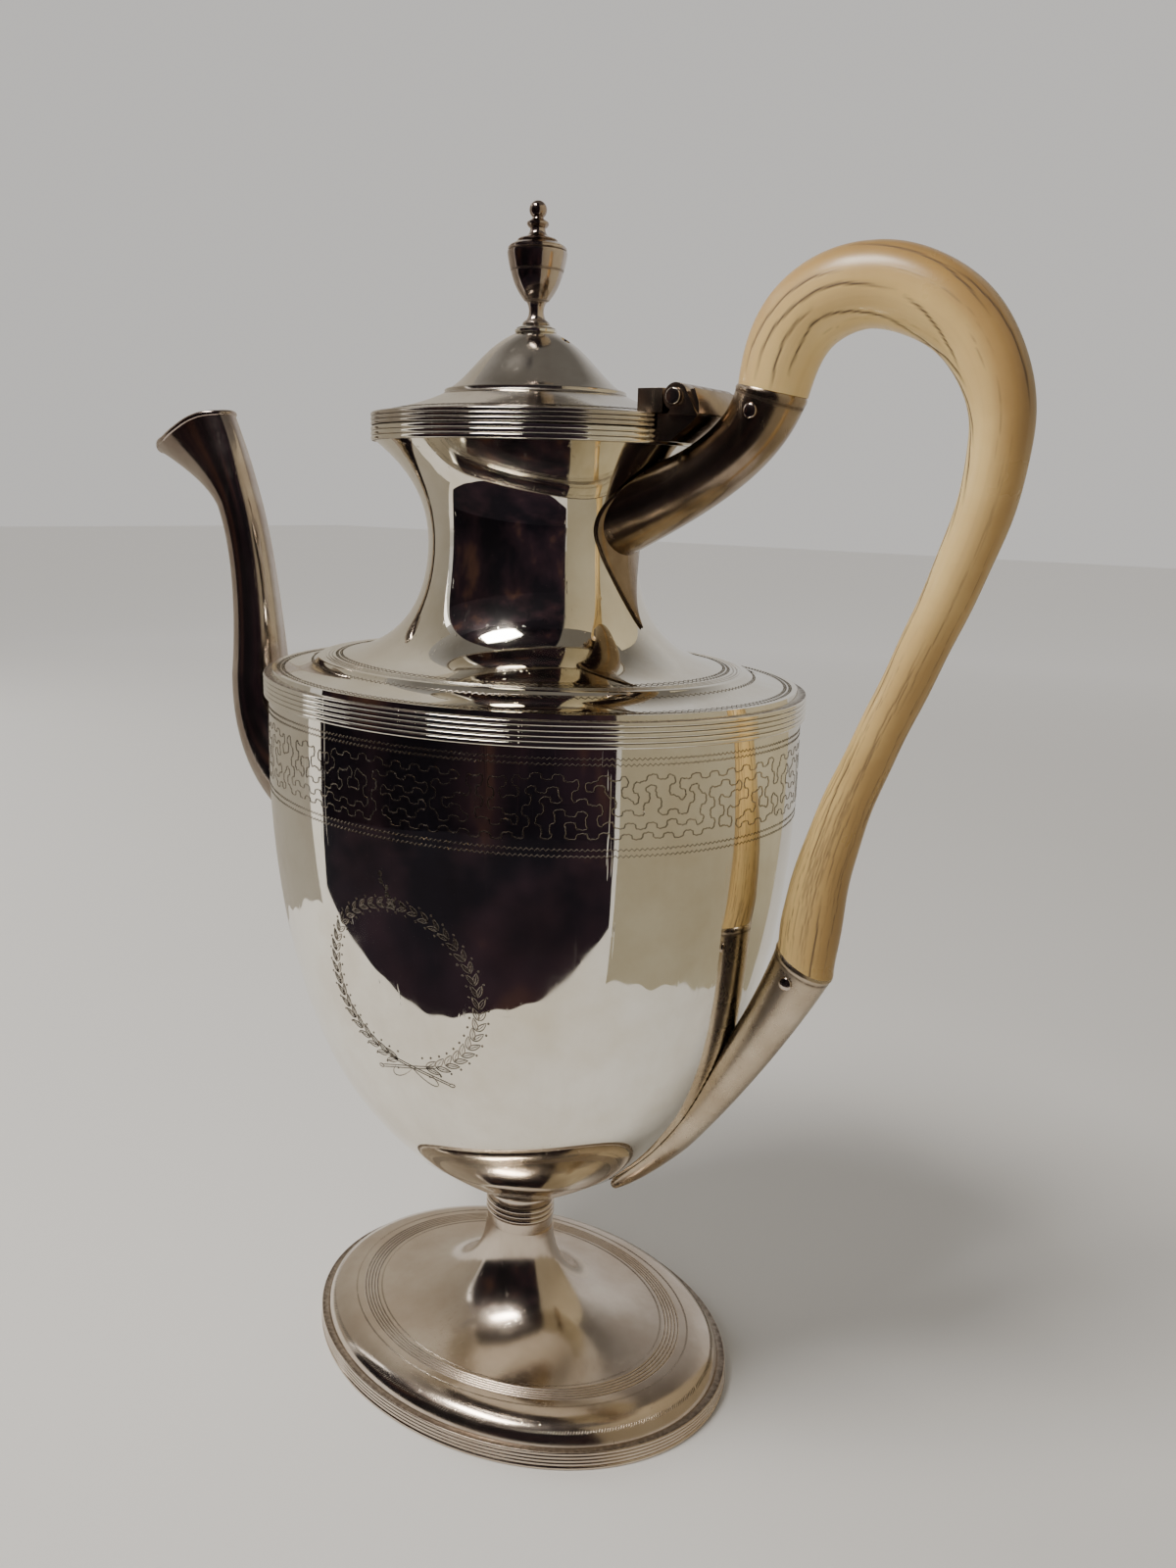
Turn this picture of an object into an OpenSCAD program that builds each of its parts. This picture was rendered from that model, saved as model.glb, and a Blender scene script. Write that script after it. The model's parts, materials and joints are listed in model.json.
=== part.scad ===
// Oval urn-shaped coffee pot with a hinged domed lid and a pinned handle.
// +Z is up, the origin is the middle of the foot's underside, the handle
// is on the +X side and the spout on the -X side.

/* [Body] */
// Half length of the body along X, at its widest
body_a = 74.2; // [74:0.1:75]
// Width over length of the body, neck and lid
body_ratio = 0.858; // [0.83:0.005:0.88]
// Height of the shoulder, where the body ends
shoulder_z = 202; // [201.5:0.1:202.5]
// Half length of the neck at its waist
waist_a = 28.7; // [28.5:0.1:29]
// Height of the neck's mouth, under its rim
mouth_z = 261.6; // [261.5:0.1:261.7]
// Half length of the neck's rim and the lid's rim
rim_a = 44.3; // [44.2:0.1:44.5]
// Thickness of the silver sheet
wall = 1.2; // [0.9:0.1:1.4]

/* [Foot] */
// Half length of the foot
foot_a = 66.2; // [65.5:0.1:68]
// Width over length of the foot
foot_ratio = 0.77; // [0.75:0.005:0.8]
// Height of the foot's upright edge
foot_edge_z = 5.2; // [5:0.1:5.5]
// Half length of the stem
stem_a = 10.6; // [10.4:0.1:10.8]

/* [Lid] */
// Height of the lid's dome, under the finial
dome_z = 289; // [288.5:0.1:289.5]
// Overall height
top_z = 320; // [319:0.5:321]
// Diameter of the steam hole in the dome
vent_d = 2.4; // [2:0.1:3]

/* [Hinge] */
// Distance of the hinge's axis from the middle of the pot
hinge_x = 48; // [47.8:0.1:48.2]
// Height of the hinge's axis
hinge_z = 272; // [271.8:0.1:272.2]
// Length of the hinge
hinge_len = 24; // [22:1:26]
// Radius of the hinge's knuckles
knuckle_r = 3.1; // [3:0.05:3.15]
// Radius of the hinge's pin
pin_r = 1.1; // [1:0.05:1.2]

/* [Spout and handle] */
// Number of pouring holes across the body's wall, each way
strainer_n = 5; // [3:2:5]
// Diameter of a pouring hole
strainer_d = 3; // [2.5:0.1:3.2]
// Radius of the pins that hold the handle
handle_pin_r = 1.6; // [1.4:0.1:1.8]

/* [Hidden] */

silver = [0.78, 0.76, 0.72];
dark_silver = [0.45, 0.43, 0.4];
ivory = [0.87, 0.78, 0.58];
around = 48;     // steps round a moulded oval
fine = 192;      // steps round any other oval
steps = 6;       // steps along one curve
sides = 20;      // sides of a swept tube
fit = 0.05;      // clearance of a running or pinned fit
gap = 0.3;       // clearance between the lid and what it passes
eps = 0.01;      // overlap of a cut with the face that it passes

calyx_z = 67.55;     // calyx's upper edge
plate_t = 0.9;       // thickness of the plate behind the upper socket
solder = 0.15;       // joint between a tube and the shell that it meets
seat_z = shoulder_z - 6;              // underside of the shoulder's moulding
stem_low = 38;                        // top of the foot's flare
stem_top = 49;                        // underside of the calyx
rim_h = 3.6;                          // height of the neck's rim
lid_z = mouth_z + rim_h + 0.2;        // underside of the lid's rim
lid_rim_h = 3.2;
flange_z = lid_z + lid_rim_h;         // underside of the lid's sheet
bezel_a = rim_a - 4.2;                 // half length of the lid's inner ring
stud_r = 1.5;                         // radius of the finial's stud
knuckle_n = 5;
knuckle_w = hinge_len / knuckle_n;

// A point on the cubic curve through p[0] and p[3]
function bez(p, t) = pow(1 - t, 3) * p[0] + 3 * pow(1 - t, 2) * t * p[1]
    + 3 * (1 - t) * t * t * p[2] + pow(t, 3) * p[3];
function curve(p, n = steps) = [for (i = [0 : n]) bez(p, i / n)];
// Curves joined end to end, without their shared points
function chain(list, n = steps) = [for (k = [0 : len(list) - 1],
    i = [(k == 0 ? 0 : 1) : n]) bez(list[k], i / n)];
function unit(v) = v / norm(v);
function slope(p, i) = unit(p[min(i + 1, len(p) - 1)] - p[max(i - 1, 0)]);
// The outline moved by d to its left
function shifted(p, d) = [for (i = [0 : len(p) - 1])
    let (s = slope(p, i)) [max(0, p[i][0] - d * s[1]), p[i][1] + d * s[0]]];
function reversed(p) = [for (i = [len(p) - 1 : -1 : 0]) p[i]];

// Profiles, as [half length, height]
bowl = chain([
    [[0, 52.5], [22, 52.5], [42.2, 67.7], [55.6, 90]],
    [[55.6, 90], [66, 107.3], [body_a - 0.1, 140], [body_a, 178]]]);
bowl_top = [body_a - 0.3, seat_z];
neck_low = [[57, 206.5], [36, 208], [waist_a, 222], [waist_a, 236.5]];
neck_high = [[waist_a, 236.5], [waist_a, 249], [36, 256.5], [43, mouth_z]];
neck_line = chain([neck_low, neck_high]);
shoulder_line = [[body_a - 1.3, shoulder_z + 1.2], [68, 203], [62.5, 204], [59.5, 206.2]];
cup = curve([[37.4, calyx_z], [31.8, 62.6], [22, 56.2], [stem_a, stem_top]], 8);
flare = chain([
    [[foot_a - 2.4, foot_edge_z], [61.5, 10.4], [55, 10.8], [49.5, 11.2]],
    [[49.5, 11.2], [27, 11.8], [stem_a + 0.4, 20], [stem_a + 0.2, stem_low]]]);
dome = chain([
    [[41.8, flange_z], [34, 269.8], [28, 272], [23.8, 274.4]],
    [[23.8, 274.4], [17, 278.5], [14, dome_z - 3.5], [5, dome_z]]]);

// Swept tubes, as [x, z, half depth, half width along Y]
grip_path = chain([
    [[66.4, 273.8, 8.3, 8], [67.8, 285, 9.4, 8.6], [74, 294.8, 9.6, 8.8], [88, 294.8, 8.9, 8.6]],
    [[88, 294.8, 8.9, 8.6], [104, 294.8, 9, 8.4], [118.4, 282, 7.4, 7], [118.4, 264, 6.6, 6.6]],
    [[118.4, 264, 6.6, 6.6], [118.4, 245, 5.9, 6.2], [109, 226, 5.6, 6], [98.5, 199, 5.5, 6]],
    [[98.5, 199, 5.5, 6], [92, 182, 5.5, 6], [85, 163, 7.2, 6.8], [84.6, 141.3, 7.9, 7.4]]]);
top_tang = [[66.4, 273.8, 5.8, 5.5], [64.9, 268.2, 5.6, 5.3], [62.5, 263.5, 4.6, 4.4],
    [59.5, 260.5, 3.6, 3.4]];
low_tang = [[84.6, 141.3, 5.2, 5], [82.6, 136, 5, 4.8], [80.2, 130.5, 4.2, 4], [77, 124.5, 3.4, 3.2]];
top_socket_path = curve([[66.4, 273.8, 8.3, 8], [63, 262, 7.2, 7.2], [51, 253, 6.4, 7.4],
    [25, 244, 10, 10]], 14);
low_socket_path = chain([
    [[84.6, 141.3, 7.9, 7.4], [78, 124, 6.2, 6.2], [64, 100, 5.2, 5.6], [52, 83, 4.2, 5.4]],
    [[52, 83, 4.2, 5.4], [45.5, 75, 3.8, 5.2], [38, 67, 3.2, 4.4], [33, 61.5, 1.4, 2]]]);
// The spout's own list gives the lean of each section's long axis as well
spout_path = chain([
    [[-60, 154, 16, 11.5, 90], [-90, 154, 13, 11, 82], [-105, 168, 9.5, 10, 12], [-105, 192, 8.6, 9.2, 0]],
    [[-105, 192, 8.6, 9.2, 0], [-105, 212, 7, 7, 0], [-107, 232, 6.4, 6.3, 10], [-112.5, 245, 7, 6.6, 22]],
    [[-112.5, 245, 7, 6.6, 22], [-116, 252, 8, 7, 26], [-123, 259, 12.5, 7.8, 22],
        [-131, 264.5, 16.5, 8.4, 19]]], 8);

top_lean = -12;      // lean of the joint between the handle and its upper socket
low_lean = -28;      // lean of the joint between the handle and its lower socket
function pin_place(path) = bez(path, 0.3);
top_pin = pin_place(top_tang);
low_pin = pin_place(low_tang);

// The direction of each section's long axis: square to the path, but at
// the ends first and last where they are given
function square_on(p, first, last) = [for (i = [0 : len(p) - 1])
    let (s = slope([for (q = p) [q[0], q[1]]], i))
    i == 0 && is_num(first) ? first : i == len(p) - 1 && is_num(last) ? last : atan2(-s[0], s[1])];

module revolve(ratio = body_ratio, n = fine) scale([1, ratio, 1]) rotate_extrude($fn = n) children();
// Keeps a part with many curves in one piece, at its own size
module as_mesh() resize([0, 0, 0]) children();
module shell(ratio = body_ratio) as_mesh() revolve(ratio, around) children();

// A solid through oval sections; grow moves its skin in or out
module sweep(p, lean, grow = 0) {
    n = len(p);
    points = [for (i = [0 : n - 1], j = [0 : sides - 1])
        let (turn = 360 * j / sides, d = (p[i][2] + grow) * cos(turn))
        [p[i][0] + d * cos(lean[i]), (p[i][3] + grow) * sin(turn), p[i][1] + d * sin(lean[i])]];
    skin = [for (i = [0 : n - 2], j = [0 : sides - 1])
        let (a = i * sides + j, b = i * sides + (j + 1) % sides)
        [a, a + sides, b + sides, b]];
    polyhedron(points, concat([[for (j = [0 : sides - 1]) j]], skin,
        [[for (j = [sides - 1 : -1 : 0]) (n - 1) * sides + j]]));
}
module tube(p, first, last, grow = 0) sweep(p, square_on(p, first, last), grow);
module along_y(len) translate([0, len / 2, 0]) rotate([90, 0, 0]) linear_extrude(len) children();
module rod(x, z, r, len) translate([x, 0, z]) rotate([90, 0, 0]) cylinder(r = r, h = len, center = true, $fn = 48);

// A ring's section with n round reeds up its outside
module reeded(a_in, a_out, z0, h, n) {
    r = h / n / 2;
    polygon(concat([[a_in, z0 + h], [a_in, z0]],
        [for (i = [0 : n - 1], turn = [(i == 0 ? -90 : -30) : 60 : 90])
            [a_out - r + r * cos(turn), z0 + r * (2 * i + 1 + sin(turn))]]));
}

// Solids that stand in for the outside of a shell, to trim what sits on it
module body_solid(grow = 0) revolve() polygon(concat([[0, bowl[0][1] - grow]],
    [for (q = bowl) q + [grow, -grow]], [bowl_top + [grow, 0], [0, seat_z]]));
module cup_solid(grow = 0) revolve() polygon(concat([for (q = cup) q + [grow, 0]],
    [[0, stem_top], [0, calyx_z]]));
module neck_solid(grow = 0) revolve() polygon(concat([[0, 200]],
    [for (q = neck_line) q + [grow, 0]], [[0, mouth_z]]));
module lid_solid() revolve() polygon(concat(dome, [[0, dome_z], [0, flange_z]]));

module body_shell() color(silver) difference() {
    revolve() polygon(concat(bowl, [bowl_top, bowl_top - [wall, 0]], reversed(shifted(bowl, wall))));
    strainer_holes();
}
// The pouring holes behind the spout
module strainer_holes() for (i = [0 : strainer_n - 1], j = [0 : strainer_n - 1])
    translate([-body_a - 5, 4.4 * (i - (strainer_n - 1) / 2), 152 + 5 * (j - (strainer_n - 1) / 2)])
        rotate([0, 90, 0]) cylinder(d = strainer_d, h = 20, $fn = 24);

module calyx() color(silver) shell() polygon(concat(cup,
    [[stem_a - 2.4, stem_top], [stem_a - 2.4, bowl[0][1]]],
    [for (q = bowl) if (q[0] > stem_a - 2 && q[1] < calyx_z) q + [solder, -solder]],
    [[lookup(calyx_z, [for (q = bowl) [q[1], q[0]]]) + solder, calyx_z]]));
module stem_collar() color(silver) shell() {
    translate([stem_a - 2.4, stem_low]) square([2, stem_top - stem_low]);
    for (i = [0 : 2]) translate([stem_a - 0.6, stem_top - 2.5 - 1.2 * i]) circle(r = 0.6, $fn = 8);
}
module foot() color(silver) shell(foot_ratio) polygon(concat(flare, [[stem_a - 1, stem_low]],
    reversed([for (q = shifted(flare, wall)) if (q[1] < stem_low - wall && q[1] > foot_edge_z) q]),
    [[foot_a - 2.4 - wall, foot_edge_z]]));
module foot_rim() color(silver) shell(foot_ratio)
    reeded(foot_a - 3.6, foot_a - 0.4, 1, foot_edge_z - 1, 3);
module foot_oval(a) polygon([for (turn = [0 : 3.75 : 357]) [a * cos(turn), foot_ratio * a * sin(turn)]]);
module foot_plate() color(silver) linear_extrude(1) difference() {
    foot_oval(foot_a);
    foot_oval(foot_a - 5);
}

module shoulder_moulding() color(silver) shell()
    reeded(body_a - 2.5, body_a + 1, seat_z, 6, 4);
module shoulder() color(silver) shell()
    polygon(concat(curve(shoulder_line), [[57.4, 206.3], [57.4, 205.2]],
        reversed([for (q = curve(shoulder_line)) q - [0.6, wall]]),
        [[body_a - 2.5, shoulder_z], [body_a - 1.3, shoulder_z]]));
module neck() color(silver) shell()
    polygon(concat([[57.4, 206.3]], neck_line, [[41, mouth_z]],
        reversed([for (q = shifted(neck_line, wall)) if (q[1] < mouth_z - wall) q]), [[57.4, 205.2]]));
module neck_rim() color(silver) shell() reeded(rim_a - 3.4, rim_a, mouth_z, rim_h, 3);

module spout() color(silver) as_mesh() difference() {
    sweep(spout_path, [for (q = spout_path) q[4]]);
    sweep(spout_path, [for (q = spout_path) q[4]], -wall);
    mouth_cut();
    body_solid(solder);
}
// Opens the spout's tube at its mouth
module mouth_cut() {
    last = spout_path[len(spout_path) - 1];
    translate([last[0], 0, last[1]]) rotate([0, -last[4], 0])
        scale([1, (last[3] - wall) / (last[2] - wall), 1]) cylinder(r = last[2] - wall, h = 2, center = true, $fn = sides);
}
// The wire round the spout's mouth
module spout_lip() color(silver) as_mesh() {
    last = spout_path[len(spout_path) - 1];
    translate([last[0], 0, last[1]]) rotate([0, -last[4], 0]) scale([1, last[3] / last[2], 1])
        rotate_extrude($fn = around) translate([last[2] - 0.5, 0.8]) circle(r = 0.8, $fn = 8);
}

module upper_socket_plate() color(dark_silver) intersection() {
    difference() {
        neck_solid(plate_t);
        neck_solid();
    }
    translate([20, 0, 0]) rotate([90, 0, 90]) linear_extrude(40) teardrop();
}
// Outline of the plate, round at the top and drawn to a point below
module teardrop() {
    translate([0, 243]) circle(r = 11, $fn = 48);
    polygon([[-9.5, 237.5], [0, 217.5], [9.5, 237.5]]);
}
module upper_socket() color(dark_silver) as_mesh() difference() {
    tube(top_socket_path, 180 + top_lean);
    tube(curve(top_tang), 180 + top_lean, grow = fit);
    neck_solid(plate_t + solder);
    rod(top_pin[0], top_pin[1], handle_pin_r + fit, 40);
}
module lower_socket() color(dark_silver) as_mesh() difference() {
    tube(low_socket_path, 180 + low_lean);
    tube(curve(low_tang), 180 + low_lean, grow = fit);
    body_solid(solder);
    cup_solid(solder);
    rod(low_pin[0], low_pin[1], handle_pin_r + fit, 40);
}
module handle() color(ivory) as_mesh() difference() {
    union() {
        tube(grip_path, top_lean, 180 + low_lean);
        tube(curve(top_tang), 180 + top_lean);
        tube(curve(low_tang), 180 + low_lean);
    }
    rod(top_pin[0], top_pin[1], handle_pin_r + fit, 40);
    rod(low_pin[0], low_pin[1], handle_pin_r + fit, 40);
}
module handle_pin(place, half_width) color(silver) {
    rod(place[0], place[1], handle_pin_r, 2 * half_width);
}
module upper_handle_pin() handle_pin(top_pin, 8);
module lower_handle_pin() handle_pin(low_pin, 7.4);

// Knuckles from, from + 2, ... round the hinge's axis
module knuckles(from) for (i = [from : 2 : knuckle_n - 1])
    translate([0, -hinge_len / 2 + knuckle_w * (i + 0.5), 0]) children();
module hinge_bracket() color(dark_silver) difference() {
    union() {
        along_y(hinge_len - 2) polygon([[42, 262.2], [46.4, 262.2], [51.5, 266], [54, 268.4], [42, 268.4]]);
        knuckles(0) {
            rod(hinge_x, hinge_z, knuckle_r, knuckle_w - fit);
            along_y(knuckle_w - fit) polygon([[46, 268], [53.8, 268], [hinge_x + 2.4, 274], [hinge_x, 271]]);
        }
    }
    rod(hinge_x, hinge_z, pin_r + fit, 40);
    revolve() translate([0, 260]) square([rim_a, mouth_z + rim_h - 260]);
    revolve() translate([0, mouth_z + rim_h - eps]) square([rim_a + gap + 0.2, 10]);
    for (i = [1 : 2 : knuckle_n - 1]) translate([0, -hinge_len / 2 + knuckle_w * (i + 0.5), 0])
        rod(hinge_x, hinge_z, knuckle_r + gap, knuckle_w + fit);
}
module hinge_pin() color(silver) {
    rod(hinge_x, hinge_z, pin_r, hinge_len + 1);
    for (s = [-1, 1]) translate([0, s * (hinge_len / 2 + 0.75), 0]) rod(hinge_x, hinge_z, 1.9, 1.4);
}
module hinge_leaf() color(dark_silver) difference() {
    union() {
        along_y(hinge_len) translate([38, 267]) square([hinge_x - knuckle_r - gap - 38, 7]);
        knuckles(1) {
            rod(hinge_x, hinge_z, knuckle_r, knuckle_w - fit);
            along_y(knuckle_w - fit) polygon([[43, 269.4], [hinge_x, 269.4], [hinge_x, 274], [43, 274]]);
        }
    }
    rod(hinge_x, hinge_z, pin_r + fit, 40);
    lid_solid();
    revolve() translate([0, lid_z]) square([rim_a, lid_rim_h]);
    translate([30, -20, 260]) cube([30, 40, flange_z - 260]);
}

module lid_dome() color(silver) as_mesh() difference() {
    revolve(body_ratio, around) polygon(concat([[bezel_a - 1.2, flange_z]], dome, [[0, dome_z], [0, dome_z - wall]],
        reversed([for (q = dome) if (q[0] < 36) q - [0.4, wall]])));
    translate([0, 0, dome_z - 20]) cylinder(r = stud_r + fit, h = 30, $fn = 24);
    translate([9, 0, dome_z - 12]) cylinder(d = vent_d, h = 20, $fn = 24);
}
module lid_rim() color(silver) shell() reeded(rim_a - 3.4, rim_a, lid_z, lid_rim_h, 3);
module lid_bezel() color(silver) revolve() translate([bezel_a - 1, lid_z - 3]) square([1, 3 + lid_rim_h]);

module finial_collar() color(silver) difference() {
    translate([0, 0, dome_z]) cylinder(r = 5, h = 1.8, $fn = 48);
    translate([0, 0, dome_z - 1]) cylinder(r = stud_r + fit, h = 4, $fn = 24);
}
module finial_urn() color(silver) {
    base = dome_z + 1.8;
    rotate_extrude($fn = 64) polygon(concat([[0, base], [3.4, base]],
        curve([[2, base + 1.4], [1.6, base + 3], [2, base + 4.2], [4.2, base + 7.4]], 6),
        curve([[4.9, base + 8.4], [6.4, base + 11], [7.1, base + 13.5], [7.5, base + 17.3]], 6),
        [[6.8, base + 18.4], [4.9, base + 19.8], [0, base + 19.8]]));
    translate([0, 0, dome_z - 7]) cylinder(r = stud_r, h = 10, $fn = 24);
}
module finial_cap() color(silver) {
    base = dome_z + 21.6;
    rotate_extrude($fn = 64) polygon(concat([[0, base]],
        curve([[4.9, base], [2.4, base + 0.6], [2, base + 2], [2, base + 3.2]], 6),
        [[2.6, base + 3.8], [2.6, base + 4.4], [1.3, base + 5.4], [1.3, base + 6], [0, base + 6]]));
    intersection() {
        translate([0, 0, top_z - 2.2]) sphere(r = 2.2, $fn = 48);
        translate([-3, -3, base + 6]) cube([6, 6, 8]);
    }
}
module finial_nut() color(silver) difference() {
    translate([0, 0, dome_z - wall - 2.4]) cylinder(r = 4, h = 2.4, $fn = 6);
    translate([0, 0, dome_z - 10]) cylinder(r = stud_r + fit, h = 12, $fn = 24);
}

body_shell();
calyx();
stem_collar();
foot();
foot_rim();
foot_plate();
shoulder_moulding();
shoulder();
neck();
neck_rim();
spout();
spout_lip();
upper_socket_plate();
upper_socket();
lower_socket();
handle();
upper_handle_pin();
lower_handle_pin();
hinge_bracket();
hinge_pin();
hinge_leaf();
lid_dome();
lid_rim();
lid_bezel();
finial_collar();
finial_urn();
finial_cap();
finial_nut();
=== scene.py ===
import json
import math
import random

import bmesh
import bpy
import numpy as np
from mathutils import Matrix, Vector


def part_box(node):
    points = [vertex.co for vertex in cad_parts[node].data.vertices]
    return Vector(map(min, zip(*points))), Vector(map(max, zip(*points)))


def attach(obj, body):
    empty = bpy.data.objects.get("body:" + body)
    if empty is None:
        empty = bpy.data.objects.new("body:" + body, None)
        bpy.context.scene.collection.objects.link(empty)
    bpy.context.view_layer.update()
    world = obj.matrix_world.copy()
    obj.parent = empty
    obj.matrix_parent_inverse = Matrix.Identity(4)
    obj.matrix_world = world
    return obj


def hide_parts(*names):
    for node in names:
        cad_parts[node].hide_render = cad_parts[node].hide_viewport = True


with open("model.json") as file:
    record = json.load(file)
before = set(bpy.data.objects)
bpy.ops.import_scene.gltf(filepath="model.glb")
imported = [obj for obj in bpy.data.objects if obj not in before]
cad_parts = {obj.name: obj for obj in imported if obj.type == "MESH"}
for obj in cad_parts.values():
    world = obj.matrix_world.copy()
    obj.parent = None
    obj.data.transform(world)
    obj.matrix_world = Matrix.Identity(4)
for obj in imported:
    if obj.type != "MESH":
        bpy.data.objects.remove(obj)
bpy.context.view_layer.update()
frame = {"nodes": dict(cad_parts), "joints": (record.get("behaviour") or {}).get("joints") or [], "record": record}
NODES = frame["nodes"]
BODY_OF = {node: body for body, nodes in frame["record"]["behaviour"]["bodies"].items() for node in nodes}
MM = 0.001
HINGE_X, _, HINGE_Z = (v / MM for v in frame["joints"][0]["pos_m"])

# ---------------------------------------- camera
YAW, PITCH, ROLL = 0.577, 0.233, 0.030      # radians
CAMERA_PLACE = (0.19107, -0.26324, 0.24949)
LENS, SENSOR_WIDTH = 27.89, 36


def placed(name, data):
    made = bpy.data.objects.new(name, data)
    bpy.context.scene.collection.objects.link(made)
    return made


def add_camera():
    forward = Vector((-math.sin(YAW) * math.cos(PITCH), math.cos(YAW) * math.cos(PITCH), -math.sin(PITCH)))
    level = Vector((math.cos(YAW), math.sin(YAW), 0))
    upward = level.cross(forward)
    right = math.cos(ROLL) * level + math.sin(ROLL) * upward
    upward = math.cos(ROLL) * upward - math.sin(ROLL) * level
    camera = placed("camera", bpy.data.cameras.new("camera"))
    camera.data.lens = LENS
    camera.data.sensor_width = SENSOR_WIDTH
    camera.data.clip_start = 0.01
    axes = Matrix((right, upward, -forward)).transposed().to_4x4()
    camera.matrix_world = Matrix.Translation(CAMERA_PLACE) @ axes
    bpy.context.scene.camera = camera


add_camera()


# ---------------------------------------- materials
def new_material(name):
    mat = bpy.data.materials.new(name)
    mat.use_nodes = True
    return mat, mat.node_tree, mat.node_tree.nodes["Principled BSDF"]


def node(tree, kind, **values):
    """A shader node; a value whose name starts with in_ goes to the input of that name."""
    made = tree.nodes.new(kind)
    for key, value in values.items():
        if key.startswith("in_"):
            made.inputs[key[3:].replace("_", " ")].default_value = value
        else:
            setattr(made, key, value)
    return made


def ramp(tree, source, stops):
    made = tree.nodes.new("ShaderNodeValToRGB")
    while len(made.color_ramp.elements) < len(stops):
        made.color_ramp.elements.new(0.5)
    for element, (place, colour) in zip(made.color_ramp.elements, stops):
        element.position = place
        element.color = (*colour, 1)
    tree.links.new(source, made.inputs["Fac"])
    return made.outputs["Color"]


def grey(value):
    return (value, value, value)


def noise(tree, scale, stretch=(1, 1, 1), detail=4, rough=0.55, coords=None):
    place = coords or node(tree, "ShaderNodeTexCoord").outputs["Object"]
    mapping = node(tree, "ShaderNodeMapping")
    mapping.inputs["Scale"].default_value = stretch
    tree.links.new(place, mapping.inputs["Vector"])
    made = node(tree, "ShaderNodeTexNoise", in_Scale=scale, in_Detail=detail, in_Roughness=rough)
    tree.links.new(mapping.outputs["Vector"], made.inputs["Vector"])
    return made.outputs["Fac"]


def mixed(tree, factor, a, b):
    made = node(tree, "ShaderNodeMix", data_type="RGBA")
    for socket, value in ((made.inputs[0], factor), (made.inputs[6], a), (made.inputs[7], b)):
        if isinstance(value, bpy.types.NodeSocket):
            tree.links.new(value, socket)
        elif isinstance(value, (int, float)):
            socket.default_value = value
        else:
            socket.default_value = (*value, 1)
    return made.outputs[2]


def maths(tree, kind, a, b=0.0, clamp=False):
    made = node(tree, "ShaderNodeMath", operation=kind, use_clamp=clamp)
    for socket, value in zip(made.inputs, (a, b)):
        if isinstance(value, bpy.types.NodeSocket):
            tree.links.new(value, socket)
        else:
            socket.default_value = value
    return made.outputs[0]


def bump(tree, height, strength, distance, normal=None):
    made = node(tree, "ShaderNodeBump", in_Strength=strength, in_Distance=distance)
    tree.links.new(height, made.inputs["Height"])
    if normal:
        tree.links.new(normal, made.inputs["Normal"])
    return made.outputs["Normal"]


def silver_material(name, clean, tarnish, amount, rough, scratches):
    """Polished sheet silver: patchy tarnish, fine scratches, a slight waviness and dirt with painted shade in its
    hollows.
    """
    mat, tree, shader = new_material(name)
    shader.inputs["Metallic"].default_value = 1
    patches = noise(tree, 26, detail=7, rough=0.62)
    cloud = ramp(tree, patches, [(0.5 - amount * 0.35, grey(0)), (0.78 - amount * 0.2, grey(1))])
    streaks = noise(tree, 60, (1, 1, 0.12), detail=5, rough=0.6)
    streak = ramp(tree, streaks, [(0.5, grey(0)), (0.8, grey(0.6 * amount + 0.1))])
    colour = mixed(tree, cloud, clean, tarnish)
    colour = mixed(tree, streak, colour, [c * 0.78 for c in tarnish])
    # dark brown in the hollows: dark tarnish plus painted shade, from the grime attribute
    dirt_and_shade = node(tree, "ShaderNodeAttribute", attribute_name="grime_and_shade").outputs["Fac"]
    speckle = ramp(tree, noise(tree, 900, detail=2), [(0.25, grey(0.55)), (0.6, grey(1))])
    dirt_and_shade_speckled = maths(tree, "MULTIPLY", dirt_and_shade, speckle, clamp=True)
    colour = mixed(tree, dirt_and_shade_speckled, colour, (0.12, 0.09, 0.07))
    tree.links.new(colour, shader.inputs["Base Color"])
    fine = noise(tree, 420, (1, 1, 0.05), detail=3)
    smudge = noise(tree, 55, detail=6, rough=0.7)
    level = ramp(tree, smudge, [(0.45, grey(rough)), (0.8, grey(rough + 0.09))])
    level = mixed(tree, dirt_and_shade_speckled, level, grey(0.5))
    level = mixed(tree, ramp(tree, fine, [(0.62, grey(0)), (0.75, grey(0.5))]), level, grey(rough + 0.2))
    tree.links.new(level, shader.inputs["Roughness"])
    waves = bump(tree, noise(tree, 22, detail=2, rough=0.4), 1.0, 0.00022)
    across = noise(tree, 700, (1, 1, 0.03), detail=2)
    along = noise(tree, 500, (0.06, 0.06, 1), detail=2)
    hair = maths(tree, "MAXIMUM", ramp(tree, across, [(0.66, grey(0)), (0.72, grey(1))]),
                 ramp(tree, along, [(0.7, grey(0)), (0.76, grey(0.7))]))
    tree.links.new(bump(tree, hair, scratches, 0.00003, waves), shader.inputs["Normal"])
    return mat


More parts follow.
